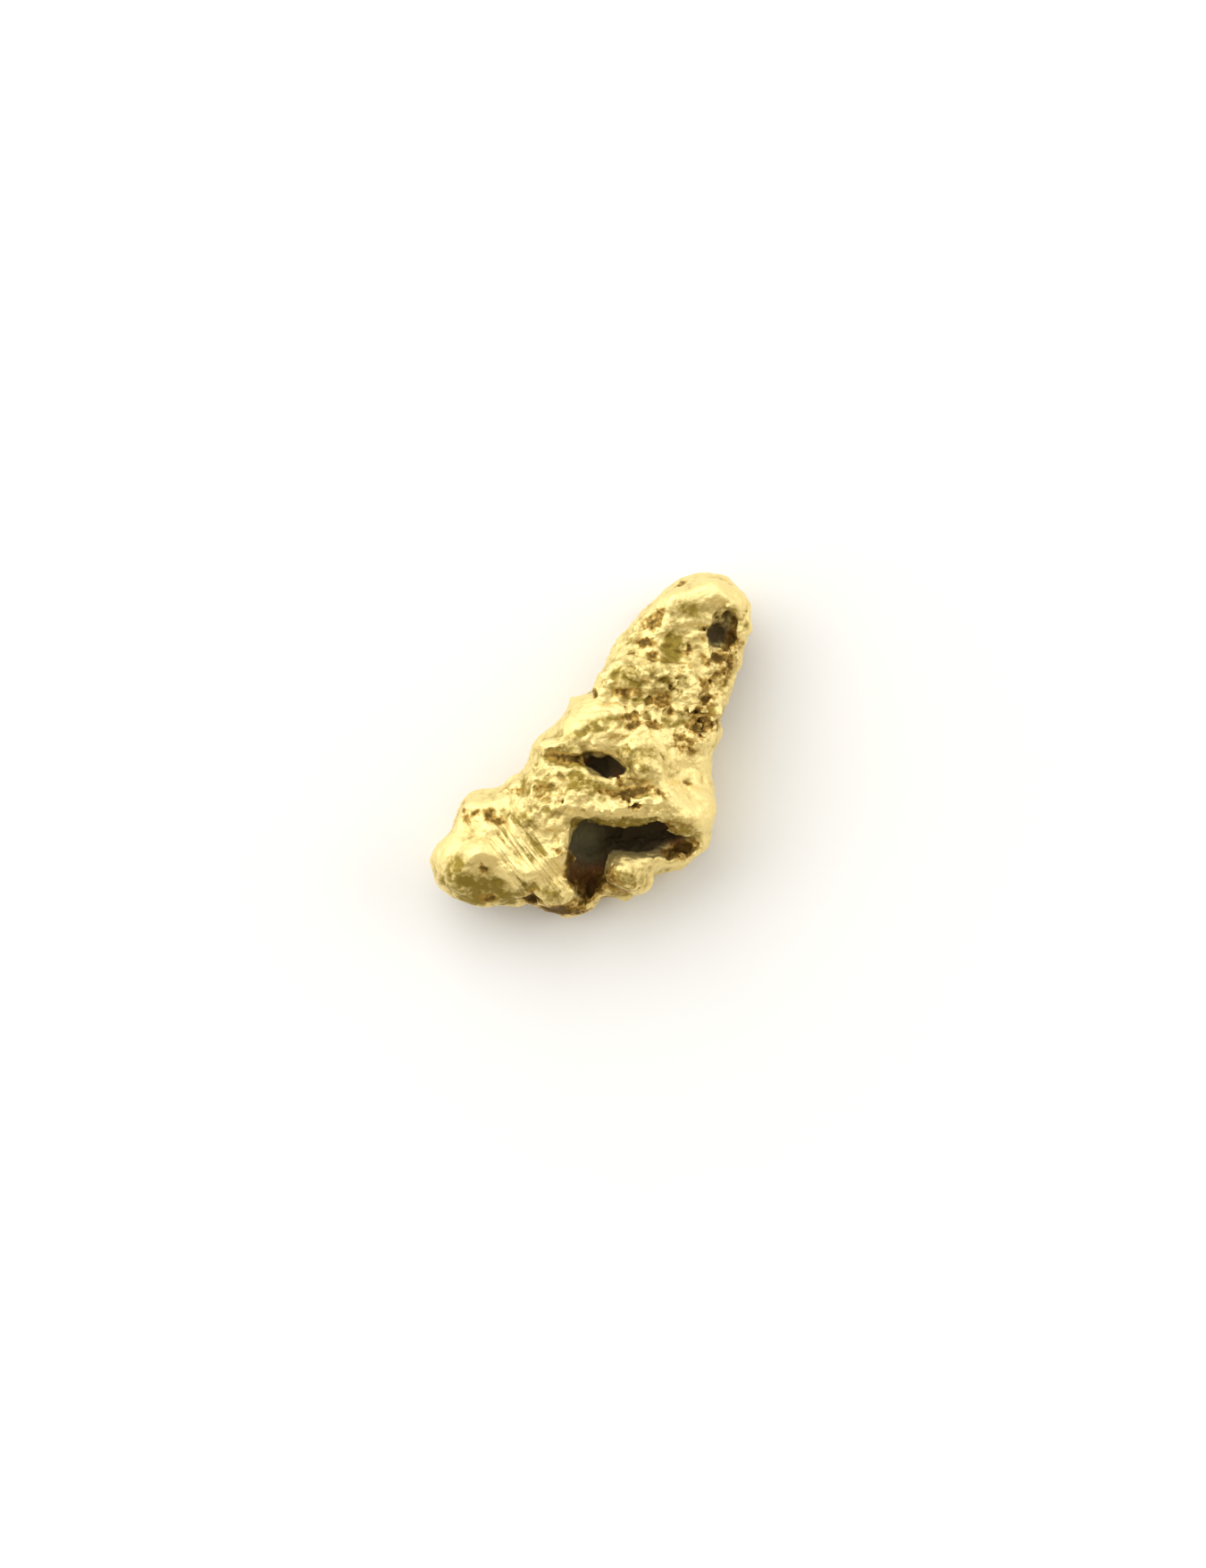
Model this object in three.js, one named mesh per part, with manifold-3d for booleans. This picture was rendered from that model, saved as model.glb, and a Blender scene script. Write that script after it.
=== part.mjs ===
// A small river-worn gold nugget, lying on its back with its deep hollow facing up.
// It is one solid piece of native gold: rounded lumps that grew together, with ledges, pits and worn flats.
// Millimetres, +Z up. The origin is under the middle of the nugget, on the surface that it lies on.

import * as THREE from "three";
import { ImprovedNoise } from "three/addons/math/ImprovedNoise.js";
import { mergeVertices } from "three/addons/utils/BufferGeometryUtils.js";
import Module from "manifold-3d";

// Driving dimensions
const LENGTH_X = 5.37; // across the nugget as it lies, toe to tip
const LENGTH_Y = 5.76; // from the sole to the end of the tip
const HEIGHT = 2.5; // from the resting spots to the top of the brow
const FACET = 0.147; // spacing of the grid that the surface is drawn on
const MARGIN = 4 * FACET; // empty grid kept all round the nugget
const KNOT_WIDTH = 0.85; // the rounded knots of gold, with creases between them
const KNOT_DEPTH = 0.24;
const DENT_WIDTH = 0.42; // the smaller dents that the river left all over
const DENT_DEPTH = 0.08;
const WORN_DEPTH = 0.6; // thickness of the slab that planes the resting spots flat

// Gold colour of the worn surface
const GOLD = 0xcdb35a;

// A stroke adds an ellipsoid of gold or takes one away. Its half-lengths run along, across and up. It is
// turned about Z and leans to the front, in degrees, and it meets the gold that is already there in a fillet
// of the given width.
function stroke(adds, name, middle, half, fillet, turn, lean) {
  const axes = new THREE.Matrix4().makeRotationZ(THREE.MathUtils.degToRad(turn));
  axes.multiply(new THREE.Matrix4().makeRotationX(THREE.MathUtils.degToRad(lean)));
  const inverse = new THREE.Matrix4().setPosition(...middle).multiply(axes).invert();
  return { adds, name, half, fillet, inverse };
}

function lump(name, middle, half, fillet, turn = 0, lean = 0) {
  return stroke(true, name, middle, half, fillet, turn, lean);
}

function hollow(name, middle, half, fillet, turn = 0, lean = 0) {
  return stroke(false, name, middle, half, fillet, turn, lean);
}

// The nugget, in the order of its making
const STROKES = [
  // Main masses, from the tip down to the toe
  lump("body", [0.46, -0.22, 1.17], [1.62, 1.36, 1.09], 0.2, 52),
  lump("horn_root", [1.24, 0.98, 1.04], [1.05, 1.08, 0.94], 0.25, 66),
  lump("horn", [1.44, 1.5, 1.0], [1.0, 0.98, 0.93], 0.25, 66),
  lump("tip", [1.88, 2.09, 0.97], [0.82, 0.84, 0.89], 0.25, 66),
  lump("flank", [1.58, 0.24, 0.97], [0.64, 0.82, 0.92], 0.2, 12),
  lump("shoulder", [0.0, 0.12, 1.32], [0.92, 0.7, 0.95], 0.12, 48),
  lump("saddle", [-0.62, -0.52, 1.18], [0.72, 0.5, 1.0], 0.15, 42),
  lump("hip", [1.44, -1.12, 1.17], [0.66, 0.74, 0.97], 0.2),
  lump("brow", [0.3, -0.88, 1.42], [1.7, 0.5, 1.08], 0.15, 2),
  lump("instep", [-0.86, -1.52, 1.15], [0.9, 0.92, 1.08], 0.2),
  lump("toe", [-1.7, -1.98, 1.03], [0.98, 0.73, 1.03], 0.15, -8),
  lump("toe_bump", [-1.72, -1.2, 1.05], [0.56, 0.44, 0.82], 0.1),
  lump("foot_lip", [-0.66, -2.32, 1.15], [0.5, 0.42, 0.7], 0.1),
  lump("sole", [-0.43, -2.54, 0.62], [0.58, 0.4, 0.54], 0.12),
  lump("back_plate", [0.5, -1.56, 0.57], [1.38, 0.73, 0.57], 0.2),

  // The face of the horn, its cheek, and the ledge under the cheek
  lump("horn_rim", [1.78, 2.42, 1.46], [0.75, 0.32, 0.42], 0.12, 8),
  lump("horn_cheek", [0.85, 1.12, 1.74], [0.72, 0.36, 0.42], 0.08, 10),
  hollow("horn_dish", [1.58, 1.92, 2.2], [0.42, 0.6, 0.42], 0.08, -18),
  hollow("ledge", [0.85, 0.7, 2.22], [1.0, 0.17, 0.6], 0.06, -14, 22),
  hollow("ledge_notch", [1.2, 0.78, 2.05], [0.24, 0.28, 0.42], 0.06, 10),
  hollow("tip_pit", [2.17, 1.92, 1.72], [0.26, 0.3, 0.75], 0.06, 20),
  hollow("tip_pit_high", [2.23, 2.1, 1.82], [0.22, 0.24, 0.7], 0.06),
  hollow("flank_pit_high", [2.02, 1.3, 1.87], [0.2, 0.24, 0.42], 0.08),
  hollow("flank_pit", [1.84, 0.56, 1.88], [0.22, 0.36, 0.52], 0.06, -20),
  hollow("waist", [2.38, -0.3, 1.1], [0.36, 0.44, 1.1], 0.15),
  hollow("left_notch", [-0.12, 0.98, 1.3], [0.16, 0.16, 0.95], 0.06),

  // The middle, with the lens-shaped pit under the shoulder
  lump("middle_bulge", [1.02, -0.4, 1.92], [0.5, 0.38, 0.5], 0.08),
  hollow("lens_pit", [0.26, -0.34, 2.36], [0.42, 0.24, 0.95], 0.05, -18, 12),
  hollow("lens_tail", [-0.42, -0.19, 2.36], [0.55, 0.18, 0.62], 0.05, -12, 12),
  hollow("brow_cleft", [0.62, -0.76, 2.56], [0.62, 0.14, 0.4], 0.05, -8),
  hollow("brow_cleft_right", [1.65, -0.6, 2.18], [0.42, 0.13, 0.4], 0.05, -25),

  // The deep hollow under the brow, open to the front between the foot and the knob
  hollow("cavity", [0.75, -1.6, 2.05], [1.04, 0.34, 1.5], 0.06, 4, 10),
  hollow("cavity_left", [-0.02, -1.72, 1.95], [0.43, 0.54, 1.38], 0.08, 0, 8),
  hollow("chute", [-0.02, -2.3, 1.5], [0.24, 0.42, 0.8], 0.08),
  lump("knob_foot", [0.4, -2.28, 0.62], [0.52, 0.32, 0.55], 0.1),
  lump("knob_stalk", [0.66, -2.06, 0.85], [0.36, 0.36, 0.62], 0.1),
  lump("knob", [0.56, -2.1, 1.42], [0.4, 0.32, 0.44], 0.06, 30),
  lump("knob_side", [0.72, -2.23, 1.3], [0.34, 0.34, 0.44], 0.06),
  lump("ridge", [1.4, -1.8, 1.08], [0.74, 0.22, 0.6], 0.08, 17),

  // The back, where the nugget lies on three worn spots
  lump("back_horn", [1.5, 1.55, 0.45], [0.7, 0.6, 0.53], 0.12, 60),
  lump("back_hip", [1.05, -1.3, 0.42], [0.75, 0.6, 0.5], 0.12),
  lump("back_toe", [-1.55, -1.8, 0.45], [0.7, 0.55, 0.53], 0.12),
  hollow("back_waist", [0.75, 0.2, -0.1], [1.2, 0.55, 0.5], 0.1, -25),
  hollow("back_instep", [-0.6, -1.2, -0.1], [0.5, 0.8, 0.5], 0.1, 20),
  hollow("back_pit", [0.3, -0.72, 0.05], [0.34, 0.2, 0.5], 0.06, 30),
  hollow("back_pit_low", [0.02, -0.95, 0.05], [0.24, 0.2, 0.45], 0.06),
  hollow("back_horn_dish", [2.0, 0.75, 0.1], [0.5, 0.4, 0.4], 0.1, 60),
];

const noise = new ImprovedNoise();
const point = new THREE.Vector3();

// Distance to a stroke's ellipsoid, close enough near its surface: negative inside.
function distanceTo({ half, inverse }, x, y, z) {
  point.set(x, y, z).applyMatrix4(inverse);
  const [along, across, up] = [point.x / half[0], point.y / half[1], point.z / half[2]];
  const scaled = Math.hypot(along, across, up);
  const slope = Math.hypot(along / half[0], across / half[1], up / half[2]);
  return slope > 0 ? (scaled * (scaled - 1)) / slope : -Math.min(...half);
}

// The smaller of two distances, with a fillet where they are alike.
function joined(a, b, fillet) {
  const share = Math.max(fillet - Math.abs(a - b), 0) / fillet;
  return Math.min(a, b) - (share * share * fillet) / 4;
}

function noiseAt(width, x, y, z) {
  return noise.noise(x / width, y / width, z / width);
}

// Negative inside the gold, positive outside.
function goldDistance(x, y, z) {
  let d = MARGIN;
  for (const s of STROKES) {
    const e = distanceTo(s, x, y, z);
    d = s.adds ? joined(d, e, s.fillet) : -joined(-d, e, s.fillet);
  }
  const knots = KNOT_DEPTH * (0.25 - Math.abs(noiseAt(KNOT_WIDTH, x, y, z)));
  const dents = DENT_DEPTH * noiseAt(DENT_WIDTH, x, y, z);
  return d + knots + dents;
}

// A grid of distances, with the nugget in its middle
function distanceGrid(distance, low, high, step) {
  const counts = low.map((value, n) => Math.ceil((high[n] - value) / step) + 1);
  const strides = [1, counts[0], counts[0] * counts[1]];
  const values = new Float32Array(counts[0] * counts[1] * counts[2]);
  for (let n = 0; n < values.length; n++) {
    const index = [n % counts[0], Math.floor(n / strides[1]) % counts[1], Math.floor(n / strides[2])];
    values[n] = distance(...index.map((count, axis) => low[axis] + count * step));
  }
  return { low, step, counts, strides, values };
}

// Visits the cells of a grid, leaving out its outer layer.
function eachCell({ counts, strides }, visit) {
  for (let k = 1; k < counts[2] - 1; k++)
    for (let j = 1; j < counts[1] - 1; j++)
      for (let i = 1; i < counts[0] - 1; i++) visit(i + j * strides[1] + k * strides[2], [i, j, k]);
}

// Fills in where gold touches gold only across the diagonal of a grid square, which would leave an edge
// shared by four faces: one of the two empty corners becomes gold.
function fillDiagonals(grid) {
  const { strides, values } = grid;
  const justInside = -0.05 * grid.step;
  let filled = true;
  while (filled) {
    filled = false;
    eachCell(grid, (here) => {
      for (let n = 0; n < 3; n++) {
        const u = strides[n];
        const w = strides[(n + 1) % 3];
        const [a, b, c, d] = [here, here + u, here + u + w, here + w].map((corner) => values[corner] < 0);
        if (a !== c || b !== d || a === b) continue;
        const [first, second] = a ? [here + u, here + w] : [here, here + u + w];
        values[values[first] < values[second] ? first : second] = justInside;
        filled = true;
      }
    });
  }
}

const CORNERS = [0, 1, 2, 3, 4, 5, 6, 7].map((c) => [c & 1, (c >> 1) & 1, c >> 2]);
const EDGES = CORNERS.flatMap((_, a) => [1, 2, 4].filter((bit) => !(a & bit)).map((bit) => [a, a | bit]));

// Surface nets, first half: one vertex in each grid cell that the surface crosses, at the crossings' mean.
function netVertices(grid) {
  const { low, step, strides, values } = grid;
  const positions = [];
  const vertexOf = new Map();
  eachCell(grid, (here, index) => {
    const v = CORNERS.map(([a, b, c]) => values[here + a * strides[0] + b * strides[1] + c * strides[2]]);
    const crossed = EDGES.filter(([a, b]) => v[a] < 0 !== v[b] < 0);
    if (!crossed.length) return;
    vertexOf.set(here, positions.length / 3);
    for (let n = 0; n < 3; n++) {
      let sum = 0;
      for (const [a, b] of crossed) {
        const share = v[a] / (v[a] - v[b]);
        sum += CORNERS[a][n] + share * (CORNERS[b][n] - CORNERS[a][n]);
      }
      positions.push(low[n] + step * (index[n] + sum / crossed.length));
    }
  });
  return { positions, vertexOf };
}

// Surface nets, second half: one quad round each grid edge that the surface crosses, as two triangles.
function netTriangles(grid, vertexOf) {
  const { strides, values } = grid;
  const triangles = [];
  eachCell(grid, (here) => {
    for (let n = 0; n < 3; n++) {
      const inside = values[here] < 0;
      if (inside === values[here + strides[n]] < 0) continue;
      const u = strides[(n + 1) % 3];
      const w = strides[(n + 2) % 3];
      const quad = [here - u - w, here - w, here, here - u].map((cell) => vertexOf.get(cell));
      if (!inside) quad.reverse();
      triangles.push(quad[0], quad[1], quad[2], quad[0], quad[2], quad[3]);
    }
  });
  return triangles;
}

function surfaceNet(grid) {
  const { positions, vertexOf } = netVertices(grid);
  const geometry = new THREE.BufferGeometry();
  geometry.setAttribute("position", new THREE.Float32BufferAttribute(positions, 3));
  return geometry.setIndex(netTriangles(grid, vertexOf));
}

const wasm = await Module();
wasm.setup();

function solidOf(geometry) {
  const bare = new THREE.BufferGeometry().setAttribute("position", geometry.getAttribute("position"));
  const merged = mergeVertices(bare.setIndex(geometry.index));
  const vertProperties = merged.getAttribute("position").array;
  const triVerts = new Uint32Array(merged.index.array);
  return new wasm.Manifold(new wasm.Mesh({ numProp: 3, vertProperties, triVerts }));
}

function geometryOf(solid) {
  const mesh = solid.getMesh();
  const geometry = new THREE.BufferGeometry();
  geometry.setAttribute("position", new THREE.BufferAttribute(mesh.vertProperties, 3));
  return geometry.setIndex(new THREE.BufferAttribute(mesh.triVerts, 1));
}

// The surface that the nugget lies on planes its lowest spots flat.
function wornFlat(geometry) {
  const slab = new THREE.BoxGeometry(2 * LENGTH_X, 2 * LENGTH_Y, WORN_DEPTH);
  slab.translate(0, 0, -WORN_DEPTH / 2);
  return geometryOf(solidOf(geometry).subtract(solidOf(slab)));
}

const low = [-LENGTH_X / 2 - MARGIN, -LENGTH_Y / 2 - MARGIN, -MARGIN];
const high = [LENGTH_X / 2 + MARGIN, LENGTH_Y / 2 + MARGIN, HEIGHT + MARGIN];
const grid = distanceGrid(goldDistance, low, high, FACET);
fillDiagonals(grid);

const gold = new THREE.MeshStandardMaterial({ color: GOLD, roughness: 0.4, metalness: 1 });
const nugget = new THREE.Mesh(wornFlat(surfaceNet(grid)), gold);
nugget.name = "nugget";

const part = new THREE.Group();
part.add(nugget);

export default part;
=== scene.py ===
# %% [markdown]
# # A river-worn gold nugget
# The real thing is a single lump of native gold, about seven millimetres long. It grew in a vein, was torn
# out, and was rolled down a river until its high spots were smooth. The CAD solid already has its lumps,
# ledges and hollows at their real size. This lesson sculpts the fine surface on that solid, stains it and
# lights it.

# %% Load the frame
import math

import bpy
import numpy as np
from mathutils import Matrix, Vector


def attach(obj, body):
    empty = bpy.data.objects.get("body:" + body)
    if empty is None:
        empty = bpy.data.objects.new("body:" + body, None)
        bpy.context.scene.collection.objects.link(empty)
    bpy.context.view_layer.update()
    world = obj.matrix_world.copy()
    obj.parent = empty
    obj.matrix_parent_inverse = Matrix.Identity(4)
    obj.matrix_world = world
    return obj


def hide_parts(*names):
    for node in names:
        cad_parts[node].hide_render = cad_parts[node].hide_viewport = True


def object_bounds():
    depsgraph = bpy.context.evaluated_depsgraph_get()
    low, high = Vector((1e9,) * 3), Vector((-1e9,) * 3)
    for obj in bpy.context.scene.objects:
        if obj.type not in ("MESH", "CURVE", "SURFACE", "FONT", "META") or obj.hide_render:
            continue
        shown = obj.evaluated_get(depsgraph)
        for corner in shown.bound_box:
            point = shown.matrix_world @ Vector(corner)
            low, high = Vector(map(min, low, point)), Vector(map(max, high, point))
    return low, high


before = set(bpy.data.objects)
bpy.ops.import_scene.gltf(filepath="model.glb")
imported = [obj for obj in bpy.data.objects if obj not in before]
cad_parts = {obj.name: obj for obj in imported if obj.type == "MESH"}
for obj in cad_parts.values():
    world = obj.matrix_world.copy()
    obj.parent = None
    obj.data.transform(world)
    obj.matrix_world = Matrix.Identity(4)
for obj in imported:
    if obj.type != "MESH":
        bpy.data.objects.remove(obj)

import openvdb as vdb
from mathutils import Vector

MM = 0.001  # the sculpting below is in millimetres, and Blender's scene is in metres


def placed(name, data):
    """A new object in the scene."""
    thing = bpy.data.objects.new(name, data)
    bpy.context.scene.collection.objects.link(thing)
    return thing


def vertex_places(mesh):
    places = np.empty((len(mesh.vertices), 3), np.float32)
    mesh.vertices.foreach_get("co", places.ravel())
    return places


cad_low, cad_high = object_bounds()
print("CAD box in mm:", [round(v / MM, 2) for v in cad_low], [round(v / MM, 2) for v in cad_high])

# %% [markdown]
# ## The camera
# The nugget lies on its back and the camera looks straight down on it, as the photograph does. A long lens
# far away keeps the view nearly parallel, as in close-up work. The image is 1350 by 1755 pixels, and the
# nugget's known size in it sets what one pixel covers on the table. So no shift is needed: the camera hangs
# over the middle of the image, and the nugget falls a little off its centre.

# %% Camera
IMAGE_WIDTH, IMAGE_HEIGHT = 1350, 1755
PIXEL = 0.015 * MM  # what one pixel of the image covers at the nugget
NUGGET_PIXEL = (661, 834)  # where the frame's origin falls in the image, from its top left corner
CAMERA_HEIGHT = 0.3
FOCUS_HEIGHT = 1.2 * MM  # the height at which a pixel covers that much
SENSOR = 36  # along the image's longer side, in millimetres

camera_data = bpy.data.cameras.new("camera")
camera = placed("camera", camera_data)
bpy.context.scene.camera = camera
camera.location = (
    (IMAGE_WIDTH / 2 - NUGGET_PIXEL[0]) * PIXEL,
    (NUGGET_PIXEL[1] - IMAGE_HEIGHT / 2) * PIXEL,
    CAMERA_HEIGHT,
)
camera_data.sensor_width = SENSOR
camera_data.lens = SENSOR * (CAMERA_HEIGHT - FOCUS_HEIGHT) / (IMAGE_HEIGHT * PIXEL)
camera_data.clip_start = 0.01
camera_data.clip_end = 10
print("camera lens in mm:", round(camera_data.lens, 1))

# %% [markdown]
# ## A block to sculpt in
# Lumps, pits and undercuts are hard to push out of a mesh, because faces stretch and cross. A sculptor's clay
# is better kept as a level set: a grid that holds, at each point, the distance to the surface, negative
# inside. Taking the smaller of two distances joins two shapes, and taking the larger of one and the opposite
# of the other cuts. OpenVDB comes with Blender and turns the CAD solid into such a grid. A soft blur then
# takes off its facets.

# %% Level set of the CAD solid
VOXEL = 0.034  # between grid points, in millimetres, as all sizes of the sculpting are
PADDING = 0.5
COUNT_STEP = 16  # grid points come in multiples of this
TRUE_BAND = 16  # how many voxels from the surface the solid's distances are kept
FACET_BLUR = 0.055


def grid_counts(low, high):
    """How many grid points each axis has, rounded up so that fast Fourier transforms stay fast."""
    counts = np.ceil((np.array(high) - np.array(low)) / MM / VOXEL + 2 * PADDING / VOXEL).astype(int)
    return tuple(int(-(-count // COUNT_STEP) * COUNT_STEP) for count in counts)


shape = grid_counts(cad_low, cad_high)
first = np.floor((np.array(cad_low) / MM - PADDING) / VOXEL).astype(int)
grid_corner = tuple(int(v) for v in first)
axes_mm = [(first[n] + np.arange(shape[n])) * VOXEL for n in range(3)]


def frequencies(n):
    """The frequencies along one axis of a transformed grid."""
    steps = np.fft.rfftfreq(shape[2], VOXEL) if n == 2 else np.fft.fftfreq(shape[n], VOXEL)
    return steps.reshape([-1 if n == axis else 1 for axis in range(3)])


def blurred(values, width):
    """A Gaussian blur of a grid, by Fourier transform."""
    result = np.fft.rfftn(values)
    for n in range(3):
        result *= np.exp(-2 * (math.pi * frequencies(n) * width) ** 2)
    return np.fft.irfftn(result, shape).astype(np.float32)


def level_set(mesh):
    """The distance grid of a closed mesh, in millimetres."""
    mesh.calc_loop_triangles()
    triangles = np.empty(len(mesh.loop_triangles) * 3, np.int32)
    mesh.loop_triangles.foreach_get("vertices", triangles)
    grid = vdb.FloatGrid.createLevelSetFromPolygons(
        vertex_places(mesh) / np.float32(MM),
        triangles=triangles.reshape(-1, 3).astype(np.uint32),
        transform=vdb.createLinearTransform(voxelSize=VOXEL),
        halfWidth=TRUE_BAND,
    )
    values = np.empty(shape, np.float32)
    grid.copyToArray(values, ijk=grid_corner)
    return values


uncut = blurred(level_set(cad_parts["nugget"].data), FACET_BLUR)
block = uncut.copy()
print("block of", shape, "points,", int((block < 0).sum()), "inside the gold")

# %% [markdown]
# ## Noise to make it natural
# No pit in a nugget is a neat ellipsoid. Smooth random fields with a chosen width, made from seeded random
# numbers filtered by Fourier transform, bend every stroke a little and roughen the surface between strokes.

# %% Random fields
FIELD_SPREAD = 0.4  # how far a random field's frequencies spread, of their middle one
WARPS = [(0.2, 0.03, 11), (0.09, 0.016, 14)]  # width, size and first seed of each layer of bending
WARP_SIZE = sum(size for width, size, seed in WARPS)
WARP_REACH = 3 * WARP_SIZE  # hardly any bend is larger than this


def random_field(width, seed):
    """A smooth random grid with features of one width, with a spread of 1."""
    noise = np.random.default_rng(seed).standard_normal(shape)
    spectrum = np.fft.rfftn(noise)
    frequency = np.sqrt(sum(frequencies(n) ** 2 for n in range(3)))
    centre = 0.5 / width
    spectrum *= np.exp(-0.5 * ((frequency - centre) / (FIELD_SPREAD * centre)) ** 2)
    field = np.fft.irfftn(spectrum, shape)
    return (field / field.std()).astype(np.float32)


warp = [sum(random_field(width, seed + n) * size for width, size, seed in WARPS) for n in range(3)]
print("random fields bend the strokes by about", round(WARP_SIZE, 3), "mm")

# %% [markdown]
# ## Strokes
# A stroke is placed by where it is seen from above, and it falls on the surface below that point, as a tool
# would, or at a level of its own. `carve` takes an ellipsoid away and `add` puts one on. `groove` cuts along
# a path, `pits` beats ragged dents, and `plane_off` shaves a flat face. Each works only on the part of the
# grid that it can reach, so a hundred strokes take seconds.

# %% Stroke helpers
TINY = 1e-6  # keeps the middle of an ellipsoid from being a division by zero
GROOVE_STEP = 0.5  # how close the balls of a groove lie, of its radius
GROOVE_END = 0.45  # how thin a groove's ends are, of its radius
GROOVE_ENDS = (0.15, math.pi - 0.15)  # which part of a sine wave its thickness follows
PIT_HOLLOWS = 3  # hollows in each ragged dent
PIT_SPREAD = 0.6  # how far off the middle they lie, of the dent's half lengths
PIT_SIZE = 1.3  # how large they are, of the same
PIT_SMALLEST = 0.6  # how small chance may make them, of that size
PIT_TURN = 30  # how far chance may turn them, in degrees
PIT_LIFT = 0.4  # how far their middles lie above the surface, of their depth
PIT_FILLET = 0.06
pit_chance = np.random.default_rng(5)


def surface_height(x, y):
    """The height of the surface under a point seen from above."""
    column = block[round(x / VOXEL) - first[0], round(y / VOXEL) - first[1]]
    inside = np.flatnonzero(column < 0)
    if not len(inside):
        return 0.0
    top = inside[-1]
    share = column[top] / (column[top] - column[top + 1])
    return float(axes_mm[2][top] + share * VOXEL)


def window_round(low, high, bent=True):
    """The part of the block between two corners: its slices, and its coordinates, bent or straight."""
    begin = [max(int(low[n] / VOXEL) - 1 - first[n], 0) for n in range(3)]
    end = [min(int(high[n] / VOXEL) + 2 - first[n], shape[n]) for n in range(3)]
    part = tuple(slice(begin[n], max(end[n], begin[n] + 1)) for n in range(3))
    mesh = np.meshgrid(*[axes_mm[n][part[n]] for n in range(3)], indexing="ij")
    return part, [mesh[n] + warp[n][part] for n in range(3)] if bent else mesh


def joined(a, b, fillet):
    """The smaller of two distances, with a fillet where they are alike."""
    share = np.maximum(fillet - np.abs(a - b), 0) / fillet
    return np.minimum(a, b) - share * share * fillet / 4


def apply(part, distance, adds, fillet):
    old = block[part]
    block[part] = joined(old, distance, fillet) if adds else -joined(-old, distance, fillet)


def turned(a, b, degrees):
    """Two coordinates, seen from axes that are turned by an angle."""
    c, s = math.cos(math.radians(degrees)), math.sin(math.radians(degrees))
    return a * c + b * s, b * c - a * s


def ellipsoid(adds, place, half, turn, lean, level, fillet, bent):
    centre = np.array([place[0], place[1], level])
    reach = max(half) + fillet + WARP_REACH
    part, (x, y, z) = window_round(centre - reach, centre + reach, bent)
    x, y, z = x - centre[0], y - centre[1], z - centre[2]
    x, y = turned(x, y, turn)
    y, z = turned(y, z, lean)
    u, v, w = x / half[0], y / half[1], z / half[2]
    scaled = np.sqrt(u * u + v * v + w * w)
    slope = np.sqrt((u / half[0]) ** 2 + (v / half[1]) ** 2 + (w / half[2]) ** 2) + TINY
    apply(part, scaled * (scaled - 1) / slope, adds, fillet)


def carve(place, half, turn=0, lean=0, level=None, fillet=0.03):
    level = surface_height(*place) if level is None else level
    ellipsoid(False, place, half, turn, lean, level, fillet, True)


def add(place, half, turn=0, lift=0, level=None, fillet=0.03, bent=True):
    level = surface_height(*place) + lift if level is None else level
    ellipsoid(True, place, half, turn, 0, level, fillet, bent)


def pits(places):
    """Ragged dents: in each, shallow hollows overlap, a little off the middle and turned their own way."""
    for x, y, half_x, half_y, depth, turn in places:
        level = surface_height(x, y)
        for _ in range(PIT_HOLLOWS):
            middle = (x, y) + pit_chance.uniform(-PIT_SPREAD, PIT_SPREAD, 2) * (half_x, half_y)
            size = np.array([PIT_SIZE * half_x, PIT_SIZE * half_y, depth])
            size *= pit_chance.uniform(PIT_SMALLEST, 1.0)
            angle = turn + pit_chance.uniform(-PIT_TURN, PIT_TURN)
            carve(middle, size, turn=angle, level=level + PIT_LIFT * size[2], fillet=PIT_FILLET)


def groove(path, radius, depth, fillet=0.02):
    """Takes away a round rod, made of balls along a path on the surface, that is thinner at its ends."""
    lengths = np.concatenate([[0], np.cumsum([math.dist(a, b) for a, b in zip(path, path[1:])])])
    count = max(int(lengths[-1] / (GROOVE_STEP * radius)), 2)
    steps = np.linspace(0, lengths[-1], count + 1)
    xs = np.interp(steps, lengths, [p[0] for p in path])
    ys = np.interp(steps, lengths, [p[1] for p in path])
    zs = np.array([surface_height(x, y) for x, y in zip(xs, ys)]) - (depth - radius)
    sizes = radius * (GROOVE_END + (1 - GROOVE_END) * np.sin(np.linspace(*GROOVE_ENDS, count + 1)))
    points = np.stack([xs, ys, zs], axis=1)
    reach = radius + fillet + WARP_REACH
    part, (x, y, z) = window_round(points.min(axis=0) - reach, points.max(axis=0) + reach)
    distance = np.full(x.shape, np.inf, np.float32)
    for point, size in zip(points, sizes):
        away = np.sqrt((x - point[0]) ** 2 + (y - point[1]) ** 2 + (z - point[2]) ** 2) - size
        distance = np.minimum(distance, away)
    apply(part, distance, False, fillet)


def plane_off(place, radius, slope, depth, fillet=0.06):
    """Shaves a flat face round a point, fading out at the radius. The slope is its rise along X and Y."""
    centre = np.array([place[0], place[1], surface_height(*place) - depth])
    part, (x, y, z) = window_round(centre - radius, centre + radius, bent=False)
    x, y, z = x - centre[0], y - centre[1], z - centre[2]
    steepness = math.sqrt(1 + slope[0] ** 2 + slope[1] ** 2)
    above = (z - slope[0] * x - slope[1] * y) / steepness
    fade = np.clip(2 - 2 * np.sqrt(x * x + y * y + z * z) / radius, 0, 1)
    shaved = -joined(-block[part], -above, fillet)
    block[part] += fade * fade * (3 - 2 * fade) * (shaved - block[part])


print("each stroke works up to", round(WARP_REACH, 3), "mm beyond its size")

# %% [markdown]
# ## Outline
# Blurring the facets also softened the outline. A few tall strokes bring back its corners and its notches.

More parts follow.
